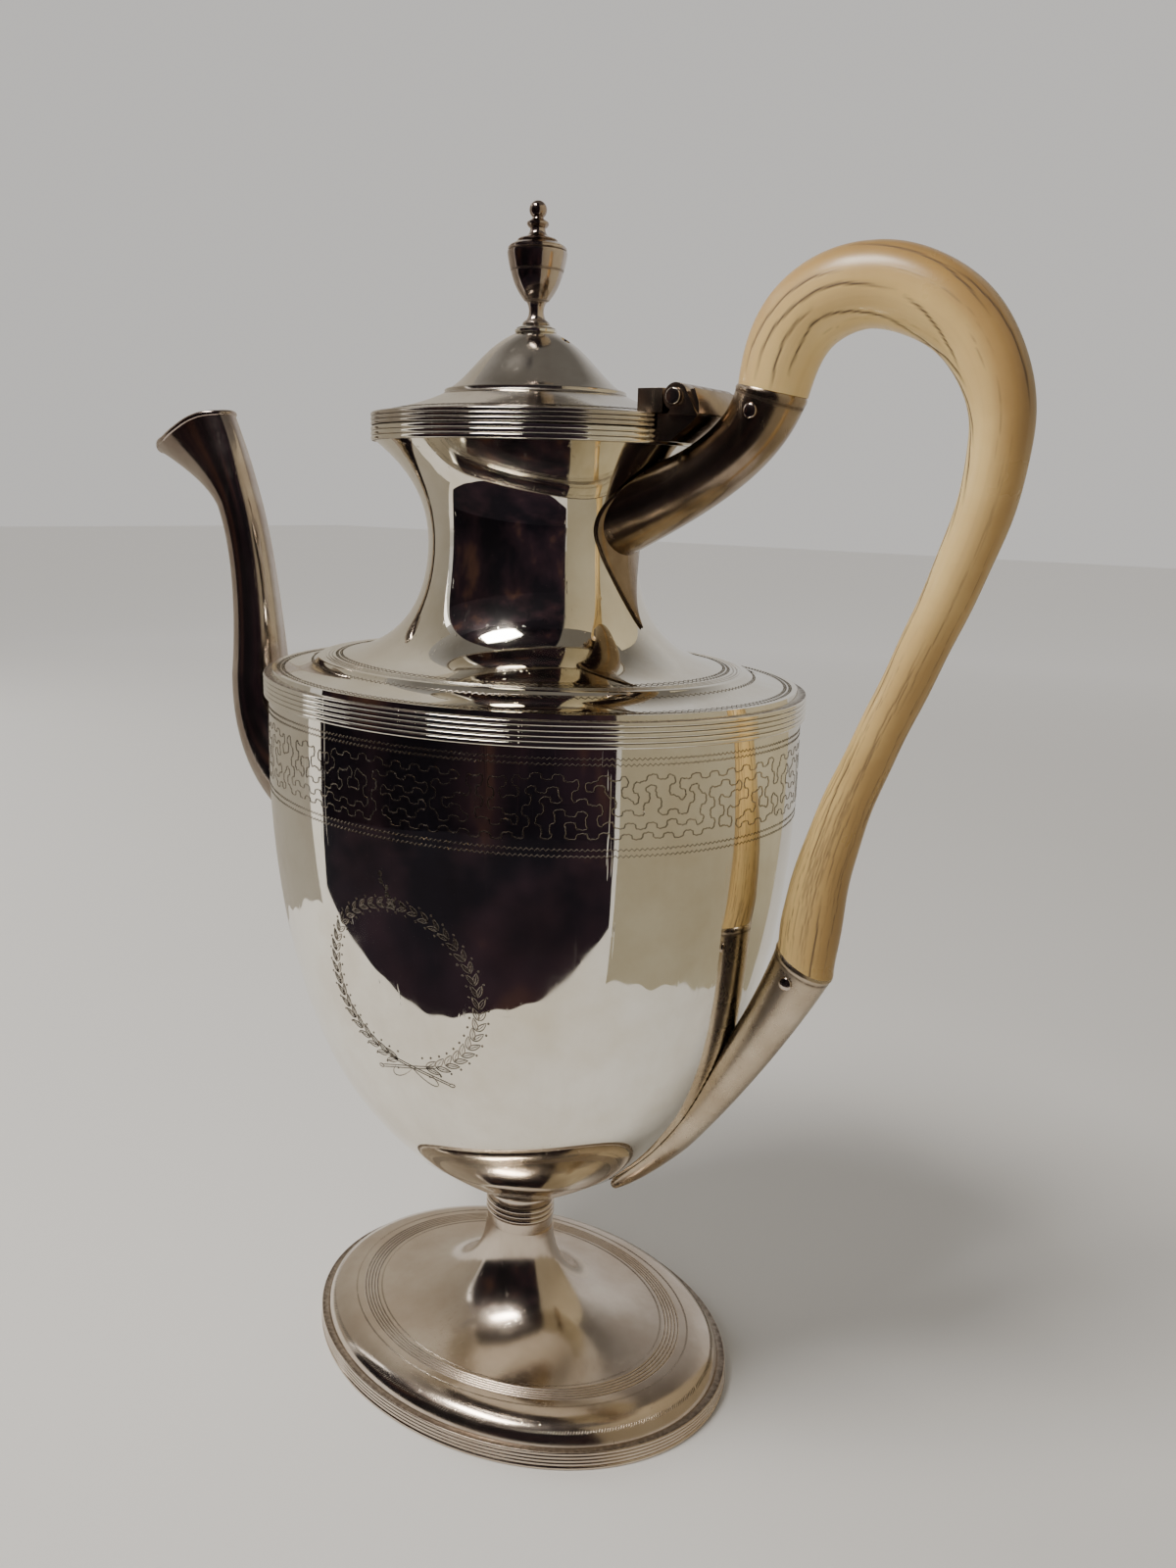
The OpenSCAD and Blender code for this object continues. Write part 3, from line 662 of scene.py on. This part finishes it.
def add_handle(n=132):
    """The carved handle. Its sections start at the outside of the loop; the near side is at -90 degrees."""
    path = resampled(chain(grip_curves, 200), 0.5)
    rings = sweep(path, square_on(path, TOP_LEAN, 180 + LOW_LEAN), n)
    run, turn = runs(path[:, :2]), circle_turns(n)
    crack = handle_cracks(path, run, turn)
    centre = np.stack([path[:, 0], np.zeros(len(path)), path[:, 1]], 1)[:, None, :]
    out = rings - centre
    out /= np.linalg.norm(out, axis=2, keepdims=True)
    along, total = run[:, None], run[-1]
    lumps = 0.12 * np.sin(along * 0.11 + 2 * np.cos(turn)) + 0.08 * np.sin(along * 0.31 + turn)
    rings += out * (lumps - 0.14 * crack - 0.12)[..., None]
    # painted shade: the inside of the loop and its bend are browner; the lower end is browner too
    facing = -np.cos(turn)[None] * np.ones((len(path), 1))
    low = np.clip((along - 0.45 * total) / (0.55 * total), 0, 1)
    bend = np.clip(1 - np.abs(along - 0.28 * total) / (0.26 * total), 0, 1)
    shade_and_tone = (0.10 + 0.54 * (facing * 0.5 + 0.5) ** 1.5 + 0.36 * bend * np.clip(facing, 0, 1) + 0.10 * low
            + 0.05 * np.sin(along * 0.06 + turn))
    piece = build("handle_carved", rings.reshape(-1, 3), capped(len(path), n), ivory, "handle",
                  attributes={"crack": crack.reshape(-1), "shade_and_tone": np.clip(shade_and_tone, 0, 1).reshape(-1)}, sharp=60)
    mesh = piece.data
    layer = mesh.uv_layers.new(name="along")
    place = np.zeros(len(mesh.loops), np.int32)
    mesh.loops.foreach_get("vertex_index", place)
    girth = 7.0 * turn * MM
    uv = np.stack([run[place // n] * MM, girth[place % n]], 1)
    layer.data.foreach_set("uv", uv.reshape(-1).astype(np.float32))


add_handle()


def pushed_out(verts, a):
    """Moves points that lie inside an oval of half length a, out along X to its surface."""
    verts[..., 0] = np.maximum(verts[..., 0], oval_x(verts[..., 1], a))
    return verts


def on_neck(verts):
    return pushed_out(verts, neck_a(verts[..., 2]) + 0.5)


def on_body(verts):
    z = verts[..., 2]
    in_cup = np.maximum(body_a(z), np.interp(z, cup[::-1, 1], cup[::-1, 0]))
    return pushed_out(verts, np.where(z < CALYX_TOP, in_cup, body_a(z)) + 0.15)


def flanged(path, bead=0.18, inset=0.25):
    """A socket's path with a small rounded bead round its mouth, and the dirt and painted shade behind the bead.
    """
    p = np.array(path, float)
    run = runs(p[:, :2])
    swell = bead * np.exp(-((run - 0.9) / 0.55) ** 2) - inset * np.exp(-(run / 0.35) ** 2)
    p[:, 2:4] += swell[:, None]
    return p, 0.9 * np.exp(-((run - 2.0) / 0.35) ** 2)


def add_socket(like, line, lean, push, material, n=96):
    path, dirt_and_shade = flanged(resampled(line, 0.5))
    verts = push(sweep(path, square_on(path, 180 + lean), n))
    build(like + "_smooth", verts.reshape(-1, 3), capped(len(path), n), material, like,
          attributes={"grime_and_shade": np.repeat(dirt_and_shade, n)})


add_socket("upper_socket", bez([GRIP_TOP, [63, 262, 7.2, 7.2], [51, 253, 6.4, 7.4], [25, 244, 10, 10]], 200),
           TOP_LEAN, on_neck, dark_silver)
tail = [52, 83, 4.2, 5.4]
add_socket("lower_socket", chain([[GRIP_LOW, [78, 124, 6.2, 6.2], [64, 100, 5.2, 5.6], tail],
                                  [tail, [45.5, 75, 3.8, 5.2], [38, 67, 3.2, 4.4], [33, 61.5, 1.4, 2]]], 120),
           LOW_LEAN, on_body, socket_silver)


def add_socket_plate(radius=11, centre=243, thick=0.9):
    """The drop-shaped plate on the neck: round above, drawn to a point below, with a rounded edge."""
    arc = np.radians(-30 + 240 * np.arange(64) / 63)
    drop = bez([[-9.5, 237.5], [-7.6, 232], [-2.2, 226], [0, 217.5]], 20)
    outline = np.vstack([np.stack([radius * np.cos(arc), centre + radius * np.sin(arc)], 1), drop[1:],
                         drop[-2:0:-1] * [-1, 1]])
    middle = np.array([0, 240.0])
    edge = [(1.0, 0.0), (1.0, thick / 2), (0.985, thick - 0.15), (0.95, thick)]
    rows = []
    for share, lift in edge + [(share, thick) for share in (0.8, 0.6, 0.4, 0.2, 0.0)]:
        q = middle + (outline - middle) * share
        rows.append(np.stack([oval_x(q[:, 0], neck_a(q[:, 1]) + lift), q[:, 0], q[:, 1]], 1))
    n = len(outline)
    # dirt and painted shade along the plate's edge, where it meets the neck
    build("upper_socket_plate_smooth", np.concatenate(rows), grid_faces(len(rows), n), dark_silver,
          "upper_socket_plate", attributes={"grime_and_shade": np.repeat([1, 0.6, 0, 0, 0, 0, 0, 0, 0], n)})


add_socket_plate()


def add_pin(like, x, z, half, r=1.7, dome=0.6, n=40):
    """A pin along Y with a domed head at each end."""
    rise = math.pi / 2 * np.arange(8) / 7
    fall = np.linspace(0.2, math.pi / 2, 7)
    points = [(r * math.sin(t), half + dome * math.cos(t)) for t in rise] + [(r, -half)]
    points += [(r * math.cos(t), -half - dome * math.sin(t)) for t in fall]
    points[-1] = (0.0, -half - dome)
    t = circle_turns(n)
    p = np.array(points)
    verts = np.stack([x + p[:, :1] * np.cos(t), np.repeat(p[:, 1:2], n, 1), z + p[:, :1] * np.sin(t)], 2)
    build(like + "_domed", verts.reshape(-1, 3), grid_faces(len(p), n), spout_silver, like)


add_pin("upper_handle_pin", 64.83, 269.0, 7.95)
add_pin("lower_handle_pin", 82.68, 136.5, 7.25)


# ---------------------------------------- hinge
def add_fitting(name, work, radius, fold, segments, material, like, instead, sharp):
    """A piece from a bmesh in metres, with its edges folded by more than fold degrees rounded over."""
    edges = [e for e in work.edges if len(e.link_faces) == 2 and e.calc_face_angle(0) > math.radians(fold)]
    bmesh.ops.bevel(work, geom=edges, offset=radius * MM, segments=segments, affect="EDGES", profile=0.5,
                    clamp_overlap=True)
    bmesh.ops.triangulate(work, faces=work.faces)
    verts = [tuple(v.co / MM) for v in work.verts]
    faces = [[v.index for v in f.verts] for f in work.faces]
    work.free()
    build(name, verts, faces, material, like, instead, sharp)


def soften(name, radius, material):
    """Puts a copy with rounded edges in a small fitting's place."""
    source = NODES[name]
    work = bmesh.new()
    work.from_mesh(source.data)
    work.transform(source.matrix_world)
    bmesh.ops.remove_doubles(work, verts=work.verts, dist=1e-6)
    bmesh.ops.dissolve_limit(work, angle_limit=math.radians(3), verts=work.verts, edges=work.edges)
    add_fitting(name + "_smooth", work, radius, 28, 3, material, name, True, 32)


def add_hinge_back(r=3.45, half=10.9):
    """The curled back of the fixed leaf, which wraps the knuckles behind the pin."""
    arc = np.radians(np.linspace(28, -66, 9))
    outline = [(HINGE_X + r * math.cos(t), HINGE_Z + r * math.sin(t)) for t in arc]
    outline += [(49.4, 268.0), (53.8, 268.2), (53.6, 270.8), (52.3, 274.0)]
    work = bmesh.new()
    ends = [[work.verts.new((x * MM, y * MM, z * MM)) for x, z in outline] for y in (-half, half)]
    n = len(outline)
    work.faces.new(ends[0])
    work.faces.new(ends[1][::-1])
    for k in range(n):
        work.faces.new((ends[0][k], ends[1][k], ends[1][(k + 1) % n], ends[0][(k + 1) % n]))
    bmesh.ops.recalc_face_normals(work, faces=work.faces)
    add_fitting("hinge_back", work, 0.2, 30, 4, dark_silver, "hinge_bracket", False, 40)


soften("hinge_bracket", 0.35, dark_silver)
soften("hinge_leaf", 0.4, dark_silver)
soften("hinge_pin", 0.3, spout_silver)
add_hinge_back()
NODES["finial_nut"].data.materials.clear()
NODES["finial_nut"].data.materials.append(silver)


# ---------------------------------------- engraving
class Engraving:
    """Fine V-shaped cuts on an oval surface of revolution, gathered into one mesh."""

    def __init__(self, profile, ratio):
        self.line, self.ratio = np.array(profile, float), ratio
        self.slope = slopes(self.line)
        self.verts, self.faces = [], []
        t = np.linspace(0, 2 * math.pi, 4001)
        step = np.hypot(np.diff(np.cos(t)), ratio * np.diff(np.sin(t)))
        self.turns, self.arc = t, np.concatenate([[0], np.cumsum(step)])

    def girth(self, a):
        return a * self.arc[-1]

    def angle(self, run, a):
        """The angle that lies a run of run mm round an oval of half length a, from +X."""
        return np.interp(np.mod(run, self.girth(a)), self.arc * a, self.turns)

    def place(self, turn, row):
        """Points and outward normals at an angle and at a place along the profile."""
        at = np.arange(len(self.line))
        a, z = np.interp(row, at, self.line[:, 0]), np.interp(row, at, self.line[:, 1])
        da, dz = np.interp(row, at, self.slope[:, 0]), np.interp(row, at, self.slope[:, 1])
        point = np.stack([a * np.cos(turn), self.ratio * a * np.sin(turn), z], -1)
        normal = np.stack([self.ratio * dz * np.cos(turn), dz * np.sin(turn), -self.ratio * da], -1)
        return point, normal / np.linalg.norm(normal, axis=-1, keepdims=True)

    def row_at(self, z):
        return np.interp(z, self.line[:, 1], np.arange(len(self.line)))

    def row_where(self, a):
        """The place on the profile's way in where its half length is a."""
        inwards = self.line[:np.argmin(self.line[:, 0]) + 1, 0]
        return np.interp(-a, -inwards, np.arange(len(inwards)))

    def stroke(self, turn, row, width, lift=0.07, taper=True):
        """One cut through points given by their angles and profile places."""
        point, normal = self.place(np.array(turn, float), np.array(row, float))
        along = np.gradient(point, axis=0)
        side = np.cross(normal, along)
        side /= np.maximum(np.linalg.norm(side, axis=1, keepdims=True), 1e-9)
        half = np.full(len(point), width / 2)
        if taper:
            half[0] = half[-1] = width * 0.08
        first = sum(len(v) for v in self.verts)
        rows = np.stack([point + side * half[:, None] + normal * lift, point + normal * 0.012,
                         point - side * half[:, None] + normal * lift], 1)
        self.verts.append(rows.reshape(-1, 3))
        for k in range(len(point) - 1):
            b = first + 3 * k
            self.faces += [[b, b + 3, b + 4, b + 1], [b + 1, b + 4, b + 5, b + 2]]

    def milled(self, row, pitch, reach, width, slant=0.6):
        """A ring of short slanting cuts, reach profile steps high."""
        a = np.interp(row, np.arange(len(self.line)), self.line[:, 0])
        for k in range(int(self.girth(a) / pitch)):
            t = self.angle(np.array([k, k + slant, k + 2 * slant]) * pitch, a)
            self.stroke(np.unwrap(t), [row - reach / 2, row, row + reach / 2], width)

    def zigzag(self, row, pitch, reach, width):
        """A zigzag line all the way round."""
        a = np.interp(row, np.arange(len(self.line)), self.line[:, 0])
        count = int(self.girth(a) / pitch) // 2 * 2
        t = np.unwrap(self.angle(np.arange(count + 1) * self.girth(a) / count * 0.999999, a))
        lift = np.where(np.arange(count + 1) % 2, reach / 2, -reach / 2)
        self.stroke(t, row + lift, width, taper=False)

    def done(self, name, like):
        build(name, np.concatenate(self.verts), self.faces, engraved, like, instead=False, sharp=180)


def meander(columns, rows, seed):
    """The grid steps of one closed line that runs all round a random tree that joins every cell of a band."""
    rng = random.Random(seed)
    joined, reached, edge = set(), {(0, 0)}, [(0, 0)]
    ways = ((1, 0), (-1, 0), (0, 1), (0, -1), (0, 1), (0, -1))
    while edge:
        c = edge[-1] if rng.random() < 0.2 else edge[rng.randrange(len(edge))]
        options = [((c[0] + dx) % columns, c[1] + dy) for dx, dy in ways
                   if 0 <= c[1] + dy < rows and ((c[0] + dx) % columns, c[1] + dy) not in reached]
        if not options:
            edge.remove(c)
            continue
        d = rng.choice(options)
        joined |= {(c, d), (d, c)}
        reached.add(d)
        edge.append(d)
    # for each corner of a cell: the way out if the tree goes that way, and the way on if it doesn't
    turns = {(0, 0): ((0, -1), (1, 0)), (1, 0): ((1, 0), (0, 1)),
             (1, 1): ((0, 1), (-1, 0)), (0, 1): ((-1, 0), (0, -1))}
    x, y, out = 0, 0, []
    for _ in range(4 * columns * rows):
        out.append((x, y))
        cell = ((x // 2) % columns, y // 2)
        (dx, dy), onward = turns[x % 2, y % 2]
        if (cell, ((cell[0] + dx) % columns, cell[1] + dy)) not in joined:
            dx, dy = onward
        x, y = x + dx, y + dy
    return np.array(out, float)


def rounded(points, times):
    for _ in range(times):
        after = np.roll(points, -1, axis=0)
        points = np.stack([points * 0.75 + after * 0.25, points * 0.25 + after * 0.75], 1).reshape(-1, 2)
    return points


def engrave_band(columns=80, rows=3, low=174.6, height=16.2, lobe=5.0, pitch=0.3):
    """A closed line of round lobes that fills a band under the shoulder, between zigzag borders."""
    work = Engraving(resampled(bowl, 0.5), BODY)
    widest = 74.1
    cell = np.array([work.girth(widest) / (2 * columns), height / (2 * rows)])
    rng = random.Random(3)
    jitter, points = {}, []
    for x, y in meander(columns, rows, 5):
        key = (int(x) % (2 * columns), int(y))
        jitter.setdefault(key, (rng.uniform(-0.2, 0.2), rng.uniform(-0.18, 0.18)))
        points.append((x + jitter[key][0], y + 0.5 + jitter[key][1]))
    points = rounded(np.array(points) * cell, 3)
    line = resampled(np.vstack([points, points[:1]]), pitch)
    wave = np.arange(len(line)) * pitch * 2 * math.pi / lobe
    tooth = np.where(np.arange(len(line)) % 2, 0.07, -0.07)
    bulge = lefts(line) * (0.72 * np.sin(wave) + tooth)[:, None]
    line = line + bulge - slopes(line) * (0.42 * np.sin(2 * wave))[:, None]
    turn = np.unwrap(work.angle(line[:, 0], widest), period=2 * math.pi)
    work.stroke(turn, work.row_at(low + line[:, 1]), 0.28, taper=False)
    for z in (193.6, 192.3, 173.0, 171.5):
        work.zigzag(work.row_at(z), 0.62, 1.1, 0.24)
    work.done("engraved_band", "body_shell")


def engrave_wreath(count=21):
    """Two leafy branches bent into an oval on the near side, crossed below and tied with a bow."""
    work = Engraving(resampled(bowl, 0.5), BODY)
    rng = random.Random(8)
    quarter = work.arc[-1] * 0.75

    def cut(points, width, taper=True):
        q = np.array(points, float)
        a = body_a(q[:, 1])
        turn = np.array([work.angle(quarter * a0 + u, a0) for (u, _), a0 in zip(q, a)])
        work.stroke(turn, work.row_at(q[:, 1]), width, taper=taper)

    centre, half = np.array([6.6, 133.6]), np.array([21.3, 21.8])
    foot = centre - [0, half[1]]

    def ring(angle):
        return centre + half * [math.sin(angle), -math.cos(angle)]

    def ellipse(middle, across, up, n, width):
        t = np.linspace(0, 2 * math.pi, n)
        cut(middle + np.stack([across * np.cos(t), up * np.sin(t)], 1), width, taper=False)

    def leaf(start, heading, length, width):
        ahead = np.array([math.cos(heading), math.sin(heading)])
        across = np.array([-ahead[1], ahead[0]])
        t = np.linspace(0, 1, 7)
        for sign in (-1, 1):
            bow = sign * width * np.sin(np.pi * t ** 0.8)
            cut(start + t[:, None] * ahead * length + bow[:, None] * across, 0.26)
        cut(start + np.array([[0.1], [0.5], [0.8]]) * ahead * length, 0.2)

    for sign in (-1, 1):
        for k in range(count):
            angle = sign * (0.2 + (math.pi - 0.26) * k / (count - 1))
            here, nxt = ring(angle), ring(angle + sign * 0.02)
            heading = math.atan2(nxt[1] - here[1], nxt[0] - here[0])
            size = 1.0 - 0.35 * k / count
            for s in (-1, 1):
                leaf(here, heading + s * (0.46 + rng.uniform(-0.06, 0.06)), 4.2 * size, 0.72 * size)
            out = np.array([math.cos(heading + math.pi / 2), math.sin(heading + math.pi / 2)])
            for s in (-1, 1):
                ellipse(here + out * s * 2.7 * size, 0.22, 0.22, 7, 0.2)
        stem = bez([ring(sign * 0.35), ring(sign * 0.12) - [0, 0.4], foot - [sign * 4, 1.2],
                    foot - [sign * 10.5, 3.4]], 16)
        for shift in (-0.35, 0.35):
            cut(stem + [0, shift], 0.2)
        ellipse(foot - [sign * 10.7, 3.4], 0.8, 0.5, 9, 0.25)
    for sign in (-1, 1):
        loop = [foot - [0, 0.9], foot + [sign * 5, -6.5], foot + [sign * 9, -5.5], foot + [sign * 5.4, -1.6]]
        cut(bez(loop, 14), 0.18)
    tip = ring(math.pi)
    sprig = bez([ring(math.pi - 0.06), tip + [-0.6, 2.2], tip + [-2.2, 4.2], tip + [-3.0, 7.4]], 10)
    cut(sprig, 0.24)
    for q, heading in zip(sprig[3::2], (2.6, 1.2, 2.4, 1.5)):
        leaf(q, heading, 1.5, 0.35)
    work.done("engraved_wreath", "body_shell")


def engrave_rings():
    """Rings of fine cuts: slanting ones on the foot, zigzags on the shoulder, neck and lid."""
    work = Engraving(resampled(flare, 0.4), FOOT)
    for a, pitch, reach, width in ((61.6, 0.75, 3.0, 0.3), (54.0, 0.9, 1.6, 0.2), (45.6, 0.9, 1.6, 0.2)):
        work.milled(work.row_where(a), pitch, reach, width)
    work.done("foot_milling", "foot")
    for like, name, line, places in (
            ("shoulder", "shoulder_milling", slope_line, ((70.8, 2.2), (69.5, 2.2), (61.3, 2.0))),
            ("neck", "neck_milling", neck_line, ((54.4, 2.0), (53.2, 2.0))),
            ("lid_dome", "lid_milling", brim, ((38.9, 1.9), (37.9, 1.9)))):
        work = Engraving(resampled(line, 0.4), BODY)
        for a, reach in places:
            work.zigzag(work.row_where(a), 0.8, reach, 0.2)
        work.done(name, like)


engrave_band()
engrave_wreath()
engrave_rings()

# ---------------------------------------- floor, light and what the silver mirrors
ROOM_LIGHT = (0.84, 0.815, 0.785)


def stage_object(name, verts, faces, material):
    mesh = bpy.data.meshes.new(name)
    mesh.from_pydata(verts, [], faces)
    mesh.materials.append(material)
    made = placed(name, mesh)
    return made


def mirror_only(made):
    """Leaves a stage object visible to nothing but reflections."""
    made.visible_camera = made.visible_diffuse = made.visible_shadow = False
    made.visible_transmission = made.visible_volume_scatter = False


def floor_material():
    """Pale paper with a painted glow in the room's light that grows far from the pot."""
    mat, tree, shader = paper_material("floor_paper", (0.71, 0.70, 0.685), (0.73, 0.72, 0.705))
    away = node(tree, "ShaderNodeVectorMath", operation="LENGTH")
    tree.links.new(node(tree, "ShaderNodeTexCoord").outputs["Object"], away.inputs[0])
    # painted glow: the floor shines with the room's light, more the farther it lies from the pot
    shader.inputs["Emission Color"].default_value = (*ROOM_LIGHT, 1)
    fade = ramp(tree, maths(tree, "DIVIDE", away.outputs["Value"], 3.0), [(0.12, grey(0)), (0.6, grey(0.36))])
    tree.links.new(fade, shader.inputs["Emission Strength"])
    return mat


stage_object("floor", [(-6, -6, 0), (6, -6, 0), (6, 6, 0), (-6, 6, 0)], [(0, 1, 2, 3)], floor_material())


def add_dark_room(first=-62, last=55, near=0.19, far=0.62, n=240):
    """The unlit side of the room, which only mirrors see, between two bearings in degrees from -Y."""
    mat, tree, shader = new_material("dark_room")
    tones = [(0.42, (0.006, 0.005, 0.010)), (0.60, (0.022, 0.012, 0.020)), (0.72, (0.075, 0.038, 0.03))]
    tree.links.new(ramp(tree, noise(tree, 3.2, detail=3), tones), shader.inputs["Base Color"])
    shader.inputs["Roughness"].default_value = 0.9
    shader.inputs["Specular IOR Level"].default_value = 0.1
    verts, faces = [], []
    for k in range(n + 1):
        turn = math.radians(first + (last - first) * k / n)
        edge = near / math.cos(turn) + 0.005 * math.sin(turn * 7 + 0.5) + 0.0015 * math.sin(turn * 31 + 1)
        back = max(edge + 0.12, far)
        for r, z in ((edge, 0.003), (back, 0.004), (back, 0.5), (0.7, 1.0), (0.62, 1.25), (0.2, 1.35)):
            verts.append((math.sin(turn) * r, -math.cos(turn) * r, z))
    for k in range(n):
        for j in range(5):
            faces.append((6 * k + j, 6 * k + 6 + j, 6 * k + 7 + j, 6 * k + 1 + j))
    mirror_only(stage_object("dark_room", verts, faces, mat))


def add_mirrored_wall(name, first, last, reach, colour, height=0.55):
    """A wall beside the pot that only mirrors see, between two bearings in degrees from -Y."""
    turns = np.radians(np.linspace(first, last, 60))
    foot = 0.005 + 0.003 * np.sin(turns * 13) + 0.002 * np.sin(turns * 31 + 1)
    verts = [(reach * math.sin(t), -reach * math.cos(t), z)
             for t, low in zip(turns, foot) for z in (low, height)]
    faces = [(2 * k, 2 * k + 2, 2 * k + 3, 2 * k + 1) for k in range(len(turns) - 1)]
    mirror_only(stage_object(name, verts, faces, paper_material(name, [c * 0.97 for c in colour], colour)[0]))


add_dark_room()
add_mirrored_wall("right_wall", 56, 150, 0.235, (0.42, 0.385, 0.29))
add_mirrored_wall("left_wall", -150, -66, 0.36, (0.60, 0.575, 0.53))


def add_lamp(name, place, target, size, power, colour):
    light = bpy.data.lights.new(name, "AREA")
    light.shape, light.size, light.size_y, light.energy, light.color = "RECTANGLE", *size, power, colour
    made = placed(name, light)
    made.location = place
    made.rotation_mode = "QUATERNION"
    made.rotation_quaternion = (Vector(target) - Vector(place)).to_track_quat("-Z", "Y")


add_lamp("key", (-0.25, -0.55, 1.15), (0, 0, 0.18), (0.46, 0.30), 14, (1, 0.96, 0.9))
add_lamp("left_fill", (-1.3, -0.1, 0.7), (0, 0, 0.15), (0.9, 0.9), 6, (1, 0.98, 0.95))


def add_world():
    """Even room light, dimmer and warmer from the right and darker overhead."""
    world = bpy.data.worlds.new("studio")
    world.use_nodes = True
    tree = world.node_tree
    way = node(tree, "ShaderNodeSeparateXYZ")
    tree.links.new(node(tree, "ShaderNodeTexCoord").outputs["Generated"], way.inputs[0])
    overhead = ramp(tree, way.outputs["Z"], [(0.45, grey(0)), (0.8, grey(1))])
    beside = ramp(tree, way.outputs["X"], [(0.25, grey(0)), (0.7, grey(1))])
    sky = mixed(tree, beside, ROOM_LIGHT, (0.46, 0.41, 0.31))
    sky = mixed(tree, overhead, sky, (0.22, 0.205, 0.185))
    tree.links.new(sky, tree.nodes["Background"].inputs["Color"])
    tree.nodes["Background"].inputs["Strength"].default_value = 0.78
    bpy.context.scene.world = world


add_world()
